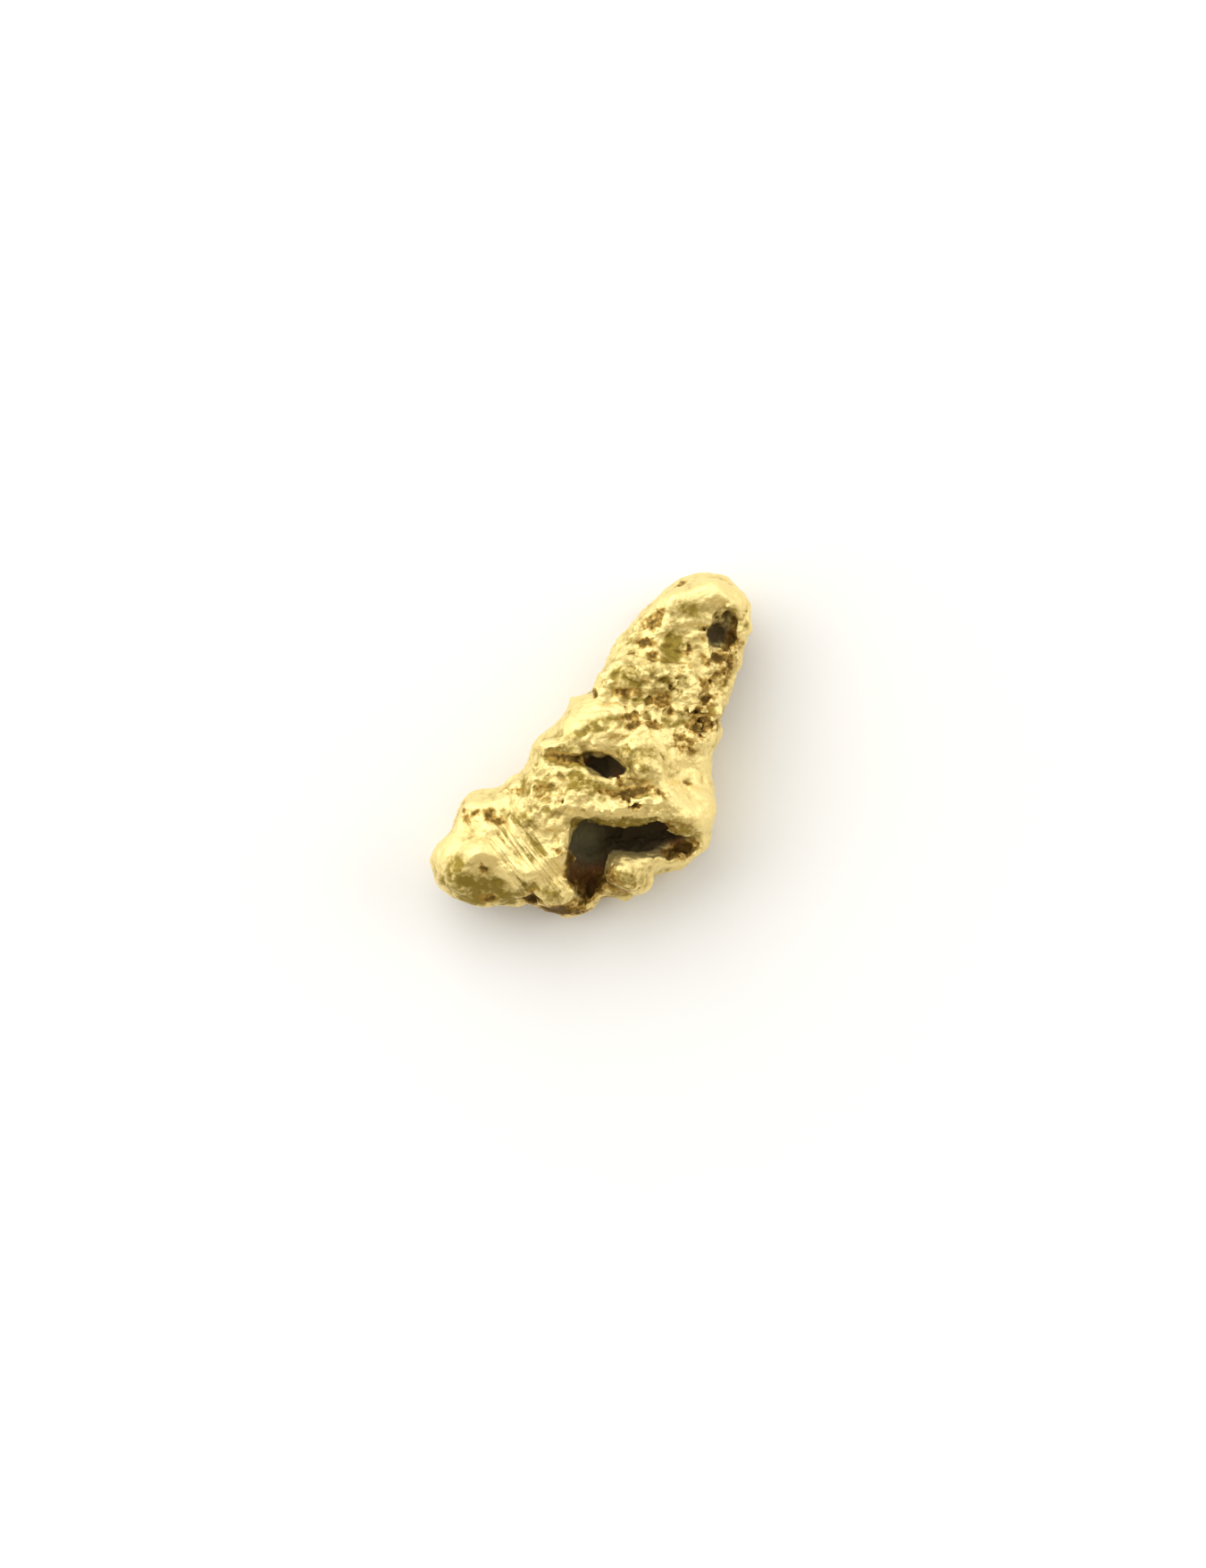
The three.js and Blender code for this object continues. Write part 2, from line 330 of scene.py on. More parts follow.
# %% Sharpen the outline
OUTLINE_FILLET = 0.12
OUTLINE = [  # name, whether it adds, middle, half lengths, turn, and height of each
    ("right corner of the horn", True, (2.34, 2.3), (0.32, 0.36, 0.6), 0, 1.05),
    ("right side of the horn", False, (2.62, 1.12), (0.14, 0.45, 2.0), -12, 1.0),
    ("left side of the shoulder", False, (-0.62, 0.52), (0.14, 0.34, 2.0), -42, 1.0),
    ("notch above the toe", False, (-2.52, -1.38), (0.2, 0.13, 2.0), 50, 1.0),
    ("round corner of the toe", True, (-2.28, -2.18), (0.33, 0.33, 0.55), 0, 0.95),
    ("right side above the hip", True, (1.85, -0.75), (0.22, 0.26, 0.6), 0, 0.95),
]
for name, adds, middle, half, turn, level in OUTLINE:
    ellipsoid(adds, middle, half, turn, 0, level, OUTLINE_FILLET, False)
    print("added the" if adds else "cut the", name)

# %% [markdown]
# ## Worn depths
# Dirt and wear have filled the narrow hollows of the solid a little, so they are shallow steps and not slots.
# Broad ellipsoids with wide fillets raise their floors, which keeps the solid's edges round them.

# %% Fill the ledge, the flank and the pits to their worn depth
FILL_FILLET = 0.15
FILLS = [  # name, middle, half lengths, turn, and the height of the ellipsoid's middle
    ("ledge", (0.84, 0.7), (0.75, 0.24, 0.4), -14, 1.56),
    ("ledge notch", (1.2, 0.78), (0.3, 0.32, 0.3), 10, 1.52),
    ("cheek's lower edge", (0.8, 1.0), (0.62, 0.16, 0.25), -6, 1.74),
    ("flank", (1.84, 0.56), (0.28, 0.42, 0.3), -20, 1.36),
    ("flank's inner side", (1.76, 0.88), (0.24, 0.36, 0.3), -20, 1.5),
    ("flank's lower side", (1.62, 0.66), (0.18, 0.2, 0.3), 0, 1.5),
    ("cleft's left end", (0.24, 0.93), (0.16, 0.13, 0.3), 0, 1.62),
    ("high flank", (2.0, 1.3), (0.28, 0.32, 0.3), 0, 1.34),
    ("lens tail", (-0.46, -0.1), (0.46, 0.18, 0.3), -12, 1.82),
    ("lens's upper edge", (0.18, -0.06), (0.3, 0.12, 0.35), -10, 1.84),
    ("lens's right end", (0.58, -0.16), (0.24, 0.18, 0.35), -30, 1.86),
    ("tip hole", (2.2, 2.0), (0.3, 0.36, 0.4), 0, 0.75),
    ("tip hole's upper left edge", (1.92, 2.12), (0.13, 0.17, 0.3), 0, 1.55),
    ("hollow's upper lip", (0.5, -1.27), (0.42, 0.1, 0.25), -3, 1.84),
    ("hollow's right lip", (1.5, -1.4), (0.22, 0.11, 0.3), -28, 1.72),
    ("saddle by the knob", (0.88, -1.93), (0.3, 0.12, 0.25), 5, 1.42),
    ("valley above the toe", (-1.62, -1.42), (0.32, 0.14, 0.3), -10, 1.56),
    ("waist", (1.7, -0.35), (0.3, 0.4, 0.4), 0, 1.25),
]
for name, middle, half, turn, level in FILLS:
    add(middle, half, turn=turn, level=level, fillet=FILL_FILLET, bent=False)
    print("filled the", name, "to", round(surface_height(*middle), 2), "mm")

# %% [markdown]
# ## Worn planes
# The river did not only round the nugget. It ground broad planes on its front, which meet the round left side
# in a long crest. These planes lean away from the light, so they are the nugget's dark faces. A plane that
# fades out at a radius leaves the lumps round it as they are.

# %% Plane off the worn faces
WORN_FACES = [  # name, middle, radius, slope along X and Y, and depth
    ("horn", (1.6, 2.0), 0.8, (-0.1, 0.18), 0.04),
    ("cheek", (1.0, 1.18), 0.6, (-0.1, 0.15), 0.05),
    ("shoulder", (0.1, 0.05), 0.6, (-0.2, 0.3), 0.03),
    ("middle", (1.02, -0.38), 0.55, (-0.06, 0.1), 0.06),
    ("toe", (-2.05, -2.28), 1.1, (-0.05, 0.62), 0.12),
    ("toe end", (-1.6, -2.5), 0.55, (0.0, 0.75), 0.08),
]
for name, middle, radius, slope, depth in WORN_FACES:
    plane_off(middle, radius, slope, depth)
    print("planed the", name, "to", round(surface_height(*middle), 2), "mm")

# %% [markdown]
# ## The horn
# The horn's front is a dull face inside a smooth rim. A deep hole sits beside its tip, small pits run down
# its left edge, and a row of ragged pits runs down its right flank. Under its cheek the gold steps back in a
# ledge.

# %% Sculpt the horn
carve((2.22, 1.84), (0.27, 0.25, 0.6), level=1.76, fillet=0.05)  # hole by the tip
carve((2.34, 2.05), (0.2, 0.25, 0.55), level=1.76, fillet=0.05)
carve((2.36, 1.76), (0.18, 0.2, 0.5), level=1.7, fillet=0.05)
carve((2.08, 1.73), (0.14, 0.14, 0.4), level=1.7, fillet=0.05)
add((2.57, 2.0), (0.1, 0.16, 0.12), lift=-0.06, fillet=0.06)  # lump on the hole's outer rim
add((2.17, 2.43), (0.26, 0.1, 0.15), turn=-20, lift=-0.1, fillet=0.08)  # rim above the hole
groove([(2.25, 1.65), (2.22, 1.25), (2.08, 0.9), (1.85, 0.5), (1.75, 0.1)], 0.22, 0.05, fillet=0.1)  # flank
HORN_PITS = [  # middle, half lengths, depth and turn of each
    (1.14, 2.22, 0.05, 0.13, 0.12, -15),
    (0.98, 2.1, 0.1, 0.05, 0.05, 20),
    (1.02, 1.92, 0.1, 0.04, 0.09, 20),
    (0.92, 1.74, 0.08, 0.06, 0.12, 0),
    (0.74, 1.76, 0.14, 0.07, 0.05, 15),
    (0.66, 1.6, 0.1, 0.04, 0.05, 15),
    (1.06, 1.5, 0.09, 0.05, 0.09, -20),
    (1.36, 1.46, 0.13, 0.05, 0.06, 5),
    (1.65, 1.59, 0.07, 0.06, 0.11, 0),
    (1.5, 2.72, 0.1, 0.05, 0.05, 40),
    (2.14, 1.5, 0.1, 0.13, 0.15, -20),
    (2.32, 1.42, 0.13, 0.08, 0.12, -20),
    (2.02, 1.28, 0.06, 0.1, 0.08, 20),
    (1.97, 1.05, 0.08, 0.08, 0.1, 0),
    (2.15, 1.07, 0.16, 0.07, 0.08, -10),
    (2.0, 0.78, 0.1, 0.09, 0.12, 0),
    (1.77, 0.47, 0.09, 0.16, 0.14, 10),
    (1.9, 0.3, 0.13, 0.1, 0.14, 0),
]
pits(HORN_PITS)
add((2.08, 0.6), (0.12, 0.17, 0.1), lift=-0.05, fillet=0.06)  # lobe between the flank's pits
groove([(0.4, 0.92), (0.55, 0.9), (0.76, 0.87)], 0.06, 0.06, fillet=0.04)  # cleft under the cheek
carve((1.17, 0.78), (0.15, 0.16, 0.1), turn=20, lean=20, fillet=0.05)  # notch in the ledge
carve((0.06, 0.87), (0.06, 0.12, 0.25), turn=10)  # nick in the left edge
groove([(1.3, 0.75), (1.36, 0.58), (1.75, 0.56)], 0.05, 0.05)
print("horn sculpted: its front is", round(surface_height(1.6, 2.0), 2), "mm high")

# %% [markdown]
# ## The shoulder and the lens-shaped pit
# The shoulder is a bright round bulge, pitted near the ledge. Its lower side falls into a pit shaped like a
# lens with a tail to the left. A smooth bulge closes the pit on the right.

# %% Sculpt the middle
carve((0.22, -0.35), (0.37, 0.17, 0.5), turn=-18, level=1.95, fillet=0.05)  # lens-shaped pit
carve((0.45, -0.52), (0.1, 0.12, 0.25), turn=-14, level=1.9, fillet=0.05)
groove([(-0.72, -0.14), (-0.5, -0.22), (-0.3, -0.25), (-0.05, -0.3)], 0.12, 0.13, fillet=0.05)  # its tail
MIDDLE_PITS = [
    (0.64, 0.47, 0.16, 0.1, 0.06, 0),
    (0.82, 0.46, 0.08, 0.06, 0.1, 0),
    (0.68, 0.34, 0.12, 0.06, 0.1, 10),
    (1.1, 0.33, 0.14, 0.05, 0.09, -5),
    (0.22, 0.16, 0.1, 0.05, 0.05, -40),
    (-0.16, 0.18, 0.12, 0.04, 0.04, 10),
    (1.5, 0.12, 0.1, 0.06, 0.07, 30),
    (1.7, 0.0, 0.12, 0.07, 0.07, -20),
]
pits(MIDDLE_PITS)
groove([(1.49, -0.54), (1.67, -0.66), (1.83, -0.7)], 0.035, 0.05)
groove([(0.98, -0.7), (1.11, -0.8), (1.3, -0.92)], 0.04, 0.06)
print("middle sculpted: lens pit floor is", round(surface_height(0.27, -0.36), 2), "mm high")

# %% [markdown]
# ## The brow and the deep hollow
# The brow is a crumbly band with clefts in it. Under it the gold opens into a deep hollow, dirty inside, with
# a knob and a ridge at its front.

# %% Sculpt the brow and the hollow
groove([(0.03, -0.75), (0.28, -0.76), (0.54, -0.82), (0.64, -0.92)], 0.06, 0.08, fillet=0.04)
groove([(0.56, -0.9), (0.68, -1.0), (0.88, -1.03)], 0.08, 0.12, fillet=0.04)
carve((0.62, -0.95), (0.13, 0.09, 0.12), turn=-30, fillet=0.04)
groove([(-1.44, -0.76), (-1.3, -0.74), (-1.18, -0.73)], 0.035, 0.06)
groove([(-0.6, -0.84), (-0.44, -1.04), (-0.16, -1.12)], 0.045, 0.06)
groove([(-1.1, -1.05), (-0.8, -1.08)], 0.04, 0.05)
BROW_PITS = [
    (0.5, -0.86, 0.1, 0.07, 0.12, 0),
    (0.87, -0.74, 0.12, 0.05, 0.12, 5),
    (-0.2, -0.57, 0.1, 0.05, 0.08, -20),
    (-0.84, -0.68, 0.05, 0.1, 0.1, 10),
    (-0.97, -0.74, 0.06, 0.05, 0.06, 0),
    (-1.15, -0.74, 0.04, 0.09, 0.1, 0),
    (-0.27, -0.92, 0.06, 0.05, 0.08, 0),
    (-0.55, -1.25, 0.05, 0.07, 0.08, 0),
    (0.2, -1.0, 0.1, 0.04, 0.05, -15),
    (1.05, -1.0, 0.1, 0.04, 0.05, 10),
]
pits(BROW_PITS)
carve((1.4, -1.7), (0.42, 0.19, 0.5), turn=5, level=1.7, fillet=0.06)  # right end of the hollow
carve((1.6, -1.76), (0.26, 0.16, 0.5), turn=15, level=1.7, fillet=0.06)
carve((1.28, -1.75), (0.22, 0.14, 0.45), level=1.66, fillet=0.06)
carve((-0.02, -2.42), (0.16, 0.26, 0.45), turn=-10, level=1.05, fillet=0.06)  # its way out at the front
carve((-0.28, -2.15), (0.12, 0.22, 0.45), level=1.5, fillet=0.06)
print("hollow sculpted: its floor is", round(surface_height(0.9, -1.6), 2), "mm high")

# %% [markdown]
# ## The knob, the foot and the toe
# A groove marks the knob off from the hip. Below the hollow the gold ends in a foot, with a smooth instep, a
# lip and a gap behind the lip. The big toe is already round in the solid, so it only gets a few small pits.

# %% Sculpt the knob, the foot and the toe
groove([(1.05, -2.1), (1.1, -1.97), (1.0, -1.85)], 0.04, 0.04)
add((-0.62, -2.42), (0.36, 0.24, 0.26), turn=-12, lift=-0.1, fillet=0.12)  # foot lip
add((-1.08, -2.06), (0.58, 0.28, 0.8), turn=-6, level=1.36, fillet=0.1, bent=False)  # instep
plane_off((-1.05, -2.0), 0.9, (0.08, -0.15), 0.06)
carve((-0.95, -2.58), (0.15, 0.1, 0.5))  # gap behind the lip
TOE_PITS = [
    (-1.78, -2.07, 0.05, 0.07, 0.07, 20),
    (-1.6, -1.95, 0.05, 0.05, 0.04, 20),
    (-1.72, -2.54, 0.13, 0.06, 0.1, 0),
    (-2.13, -1.1, 0.04, 0.08, 0.1, -10),
    (-1.91, -1.13, 0.04, 0.07, 0.12, -15),
    (-1.7, -1.13, 0.06, 0.09, 0.1, 10),
]
pits(TOE_PITS)
print("foot sculpted: toe is", round(surface_height(-1.8, -1.9), 2), "mm high")

# %% [markdown]
# ## Beaten pits
# Stones beat soft gold over, so narrow pits are shallow, darkened by painted shade that makes them look
# deeper.
# Growing the solid by a pebble's radius and shrinking it again closes every hollow that is too narrow for
# that pebble. What lies far below this closed skin is filled up, and a slight blur rounds the beaten edges.

# %% Fill the narrow pits
BEATEN_PEBBLE = 0.12
BEATEN_DEPTH = 0.045  # how deep a narrow pit stays
BEATEN_BLUR = 0.022
LARGEST_PEBBLE = 0.45  # distances up to this one are kept when the solid grows
DEEPEST_HOLLOW = 1.3
OUTER_BAND = 2  # voxels kept outside the grown skin, where nothing is read


def vdb_grid(values, limit):
    grid = vdb.FloatGrid(limit)
    grid.copyFromArray(np.clip(values, -limit, limit), ijk=grid_corner)
    grid.transform = vdb.createLinearTransform(voxelSize=VOXEL)
    return grid


def shelter(values, pebble):
    """How far each grid point lies below the skin that a pebble of this radius can touch."""
    grown, triangles, quads = vdb_grid(values, LARGEST_PEBBLE).convertToPolygons(isovalue=pebble)
    skin_grid = vdb.FloatGrid.createLevelSetFromPolygons(
        grown,
        triangles=triangles,
        quads=quads,
        transform=vdb.createLinearTransform(voxelSize=VOXEL),
        exBandWidth=OUTER_BAND,
        inBandWidth=int((pebble + DEEPEST_HOLLOW) / VOXEL),
    )
    depth = np.empty(shape, np.float32)
    skin_grid.copyToArray(depth, ijk=grid_corner)
    return np.maximum(-depth - pebble, 0)


below = shelter(block, BEATEN_PEBBLE)
filled = (block > 0) & (below > BEATEN_DEPTH)
block = np.where(below > 0, np.minimum(block, BEATEN_DEPTH - below), block)
block = blurred(block, BEATEN_BLUR)
print("filled", int(filled.sum()), "grid points in narrow pits")

# %% [markdown]
# ## Crumbly and smooth places
# The river smoothed what stood out: the toe, the hip, the knob and the horn's rim. The brow, the flank and
# the ledges stayed crumbly. A mask says how crumbly each place is, and random fields and flat chips roughen
# the block by that much.

# %% Roughen the block
SMOOTH = 0.12  # how crumbly a worn place is, of 1
PLAIN = 0.6  # how crumbly the rest is
WORN_PLACES = [  # middle and radius of each
    ((-2.15, -1.9), 1.0),
    ((-1.7, -1.0), 0.3),
    ((1.85, -1.1), 0.55),
    ((2.05, 2.6), 0.6),
    ((1.4, 2.5), 0.4),
    ((-0.35, 0.45), 0.55),
    ((1.02, -0.42), 0.36),
    ((0.7, -2.15), 0.38),
    ((-0.62, -2.42), 0.45),
    ((-1.2, -1.85), 0.55),
    ((-0.9, -2.1), 0.35),
    ((1.75, -0.3), 0.3),
    ((0.2, -0.3), 0.4),
    ((2.25, 0.55), 0.2),
]
CRUMBLY_PLACES = [
    ((0.3, -1.25), 0.35),
    ((0.85, -1.2), 0.35),
    ((1.3, -1.15), 0.3),
    ((0.4, -0.95), 0.55),
    ((-0.8, -0.8), 0.45),
    ((1.65, 0.05), 0.35),
    ((2.1, 1.35), 0.3),
    ((1.85, 0.6), 0.35),
    ((0.9, 1.8), 0.35),
    ((1.2, 1.0), 0.5),
    ((0.8, 0.4), 0.4),
]
SWELLS = [(0.3, 0.008, 21), (0.15, 0.004, 22)]  # width, depth and seed of each layer of smooth lumps
SWELLS_KEPT = 0.3  # how much of the lumps a place keeps that isn't crumbly
CRUMBS = [(0.22, 0.014, 31), (0.12, 0.007, 32)]  # the same for crumbs, which have creases between them
CRUMB_MEAN = 0.8  # about the mean of a random field's size, so that crumbs leave the nugget's size alone
CHIPS = [  # width, slope and seed of each layer of flat chips, and how much of it worn places keep
    (0.36, 0.16, 41, 0.25),
    (0.2, 0.24, 42, 0.08),
    (0.12, 0.22, 43, 0.08),
]
CHIP_STRETCH = np.array([1.6, 1.0, 1.0])  # chips are longer across the nugget, as its flakes lie
NEAR = 0.15  # only this close to the surface do chips matter
TABLE = 40  # random numbers for this many cells each way, and then they repeat
FLOOR_KEPT = 0.3  # what the CAD solid has below this height stays whole, so no hollow breaks through


def chip_heights(points, width, slope, seed):
    """Flat chips: space is split into ragged cells, and each cell has a flat face with a tilt of its own."""
    table = np.random.default_rng(seed).random((TABLE, TABLE, TABLE, 6))
    home = np.floor(points / width).astype(int)
    nearest = np.full(len(points), np.inf)
    height = np.zeros(len(points))
    for step in np.ndindex(3, 3, 3):
        cell = home + step - 1
        chance = table[tuple((cell % TABLE).T)]
        away = points - (cell + chance[:, :3]) * width
        distance = (away**2).sum(axis=1)
        closer = distance < nearest
        nearest[closer] = distance[closer]
        height[closer] = (away[closer] * (chance[closer, 3:] * 2 - 1)).sum(axis=1) * slope
    return height


def plan_mask(places, x, y):
    """1 in the middle of each place, falling softly to 0 outside it."""
    mask = np.zeros(np.broadcast(x, y).shape, np.float32)
    for (px, py), radius in places:
        away = ((x - px) ** 2 + (y - py) ** 2) / radius**2
        mask = np.maximum(mask, np.exp(-(away**2)))
    return mask


def crumbliness(x, y):
    base = PLAIN + (1 - PLAIN) * plan_mask(CRUMBLY_PLACES, x, y)
    worn = plan_mask(WORN_PLACES, x, y)
    return base * (1 - worn) + SMOOTH * worn


plan_x, plan_y = np.meshgrid(axes_mm[0], axes_mm[1], indexing="ij")
crumbly_plan = crumbliness(plan_x, plan_y)[:, :, None]
for width, depth, seed in SWELLS:
    block += random_field(width, seed) * depth * (SWELLS_KEPT + (1 - SWELLS_KEPT) * crumbly_plan)
for width, depth, seed in CRUMBS:
    block += (CRUMB_MEAN - np.abs(random_field(width, seed))) * depth * crumbly_plan
near = np.nonzero(np.abs(block) < NEAR)
near_points = np.stack([axes_mm[n][near[n]] + warp[n][near] for n in range(3)], axis=1) / CHIP_STRETCH
near_crumbly = crumbly_plan[near[0], near[1], 0]
for width, slope, seed, kept in CHIPS:
    block[near] += chip_heights(near_points, width, slope, seed) * (kept + (1 - kept) * near_crumbly)
print("roughened: crumbliness from", crumbly_plan.min().round(2), "to", crumbly_plan.max().round(2))

# %% [markdown]
# ## Scratches
# A stone dragged across the instep and left flat blades with grooves between them, which all run nearly one
# way. Each groove is a soft V along a straight line seen from above, narrower here and wider there, and it
# fades at its ends. Finer scratches between them are left to the finish.

# %% Scratches across the instep
SCRATCHES = [  # start, end, half width and depth of each
    ((-1.62, -1.74), (-1.06, -2.4), 0.06, 0.045),
    ((-1.58, -1.44), (-0.88, -2.28), 0.055, 0.04),
    ((-1.28, -1.22), (-0.6, -2.04), 0.06, 0.045),
    ((-0.9, -1.14), (-0.44, -1.7), 0.055, 0.035),
]
SCRATCH_PINCH = 0.02  # how much a groove narrows and widens
SCRATCH_WAVES = 9  # how often it does so, in radians over its length
SCRATCH_FADE = 8  # how quickly it fades at its ends, over its length
SCRATCH_LOWEST = 0.6  # the stone touched nothing below this height
SCRATCH_RISE = 0.3  # and scratched fully this much higher


def scratch(x, y, start, end, half_width, depth):
    """How deep one groove is at each point seen from above."""
    run = np.array(end) - start
    length = math.hypot(*run)
    dx, dy = x - start[0], y - start[1]
    along = (dx * run[0] + dy * run[1]) / length**2
    across = np.abs(dy * run[0] - dx * run[1]) / length + SCRATCH_PINCH * np.sin(SCRATCH_WAVES * along)
    valley = np.clip(1 - across / half_width, 0, 1)
    fade = np.clip(SCRATCH_FADE * np.minimum(along, 1 - along), 0, 1)
    return depth * valley * fade


def all_scratches(x, y):
    return sum(scratch(x, y, *one) for one in SCRATCHES)


def on_top(z):
    """0 on the nugget's back and 1 on its upper side."""
    return np.clip((z - SCRATCH_LOWEST) / SCRATCH_RISE, 0, 1)


block += (all_scratches(plan_x, plan_y)[:, :, None] * on_top(axes_mm[2])).astype(np.float32)
block = np.minimum(block, np.maximum(uncut, axes_mm[2][None, None, :] - FLOOR_KEPT))
block = np.maximum(block, -axes_mm[2][None, None, :]).astype(np.float32)
print(len(SCRATCHES), "scratches cut")

# %% [markdown]
# ## From the block to a mesh
# OpenVDB draws the surface where the distance is zero, as even small quads. They become a Blender mesh in
# metres.

# %% Mesh of the sculpted block
def mesh_of(values):
    points, triangles, quads = vdb_grid(values, 3 * VOXEL).convertToPolygons()
    faces = [face[::-1] for face in triangles.tolist()] + [face[::-1] for face in quads.tolist()]
    mesh = bpy.data.meshes.new("nugget_skin")
    mesh.from_pydata((points * MM).tolist(), [], faces)
    mesh.validate()
    return mesh


skin = placed("nugget_skin", mesh_of(block))
print("sculpted mesh:", len(skin.data.vertices), "vertices,", len(skin.data.polygons), "faces")

# %% [markdown]
# ## Where dirt and painted shade gather
# The river's pebbles scour what they can touch, and dirt stays where they can't reach. So how far a point
# lies below the skin that a pebble can touch says how sheltered it is: a small pebble finds creases, which
# are painted darker as shade, and a large one finds hollows, which get dirt that is darkened further as
# painted shade. What stands out of a blur of the solid is burnished. Iron stain, clay, dull faces and
# polished places are ellipses, put where the real nugget has them; some stains and the dull faces also paint
# shade where faces lean away from the light or lie under an overhang, and the polished places also paint
# light. They could be painted as a picture, but masks need none. The finish reads them as point attributes.

# %% Masks for the finish
CREASE_PEBBLE = 0.12
HOLLOW_PEBBLE = 0.38
BURNISH_REACH = 0.28  # the blur that lumps stand out of
GRIT_REACH = 0.08  # and the one that single crumbs stand out of
SCRATCH_DULLNESS = 18  # how dull a groove is for each millimetre of its depth
PAINT_EDGE = 0.7  # how strongly an ellipse has faded at its edge, as a power of e
PAINT_LOWEST = 0.25  # below this height the ellipses fade out, so they stay off the back
STAINS = [  # middle, half lengths, turn and strength of each iron stain
    (0.98, 2.1, 0.16, 0.1, 20, 1.0),  # horn
    (1.13, 2.15, 0.08, 0.18, -15, 1.7),
    (1.06, 2.0, 0.14, 0.1, 20, 1.7),
    (1.5, 2.7, 0.1, 0.06, 40, 0.7),
    (0.93, 1.71, 0.14, 0.08, 0, 2.0),
    (1.08, 1.49, 0.12, 0.07, -10, 1.4),
    (1.65, 1.58, 0.08, 0.09, 0, 1.0),
    (2.2, 1.47, 0.26, 0.13, -5, 1.9),  # flank
    (2.42, 1.72, 0.12, 0.22, 0, 1.7),
    (2.22, 1.2, 0.12, 0.26, -10, 0.8),
    (2.3, 1.32, 0.08, 0.3, -12, 1.3),
    (2.14, 0.74, 0.07, 0.2, -12, 0.9),
    (1.95, 1.06, 0.13, 0.09, 0, 1.5),
    (1.96, 1.31, 0.1, 0.08, 0, 1.1),
    (1.32, 0.62, 0.06, 0.14, 10, 1.3),
    (2.03, 0.76, 0.15, 0.13, 0, 1.3),
    (1.78, 0.46, 0.12, 0.24, 10, 1.0),
    (1.76, 0.24, 0.2, 0.12, 0, 1.6),
    (2.04, 0.36, 0.1, 0.15, 20, 1.4),
    (1.62, 0.04, 0.26, 0.2, 0, 0.8),
    (1.5, 0.1, 0.18, 0.12, 0, 0.6),
    (0.08, 0.87, 0.04, 0.09, 0, 1.5),
    # The next two stains, under the cheek's overhang, are painted shade as well as stain
    (0.62, 0.89, 0.22, 0.07, -3, 1.3),  # ledge and shoulder
    (1.17, 0.74, 0.16, 0.12, 20, 1.2),
    (0.66, 0.46, 0.18, 0.07, 0, 1.0),
    (0.74, 0.35, 0.14, 0.08, 10, 1.8),
    (1.1, 0.34, 0.16, 0.07, -5, 0.8),
    (0.46, -0.58, 0.08, 0.14, 10, 0.9),  # brow
    (-0.38, -0.22, 0.3, 0.08, -12, 1.4),
    (0.34, -0.82, 0.26, 0.06, -12, 0.8),
    (0.68, -0.8, 0.14, 0.1, 0, 1.5),
    (0.68, -0.97, 0.18, 0.09, -25, 1.6),
    (0.84, -0.75, 0.12, 0.07, 5, 1.4),
    (1.16, -0.81, 0.2, 0.06, -35, 1.5),
    (1.62, -0.64, 0.16, 0.03, -10, 0.5),
    (-0.84, -0.72, 0.1, 0.08, 0, 1.2),
    (-0.78, -0.85, 0.2, 0.06, 0, 1.2),
    (-1.28, -0.76, 0.2, 0.06, 0, 0.8),
    (-0.4, -1.0, 0.26, 0.06, -30, 0.6),
    (1.5, -1.36, 0.36, 0.14, -25, 0.7),
    (1.54, -1.74, 0.3, 0.15, 14, 1.6),
    (-2.12, -1.16, 0.1, 0.18, -10, 1.3),  # toe and foot
    (-1.93, -1.16, 0.1, 0.13, -15, 1.5),
    (-0.49, -1.78, 0.09, 0.07, 0, 1.6),
    (-1.71, -1.14, 0.12, 0.12, 0, 1.4),
    (-1.54, -1.26, 0.12, 0.08, -20, 1.2),
    (-1.8, -2.08, 0.07, 0.12, 20, 0.9),
    (-1.71, -2.57, 0.13, 0.09, 0, 1.6),
    (-0.95, -2.57, 0.16, 0.12, 0, 1.7),
    (-0.46, -2.76, 0.4, 0.1, 0, 2.2),
    (-0.16, -2.64, 0.14, 0.1, 0, 1.6),
    (0.02, -2.32, 0.2, 0.28, 0, 2.2),
    (0.16, -2.44, 0.16, 0.1, 25, 1.5),
    (-0.28, -2.12, 0.14, 0.28, 0, 2.4),
    (1.58, -1.86, 0.22, 0.08, 20, 1.5),
    (0.34, -2.26, 0.14, 0.24, 0, 1.4),
    (0.56, -2.38, 0.3, 0.14, 0, 1.0),
]
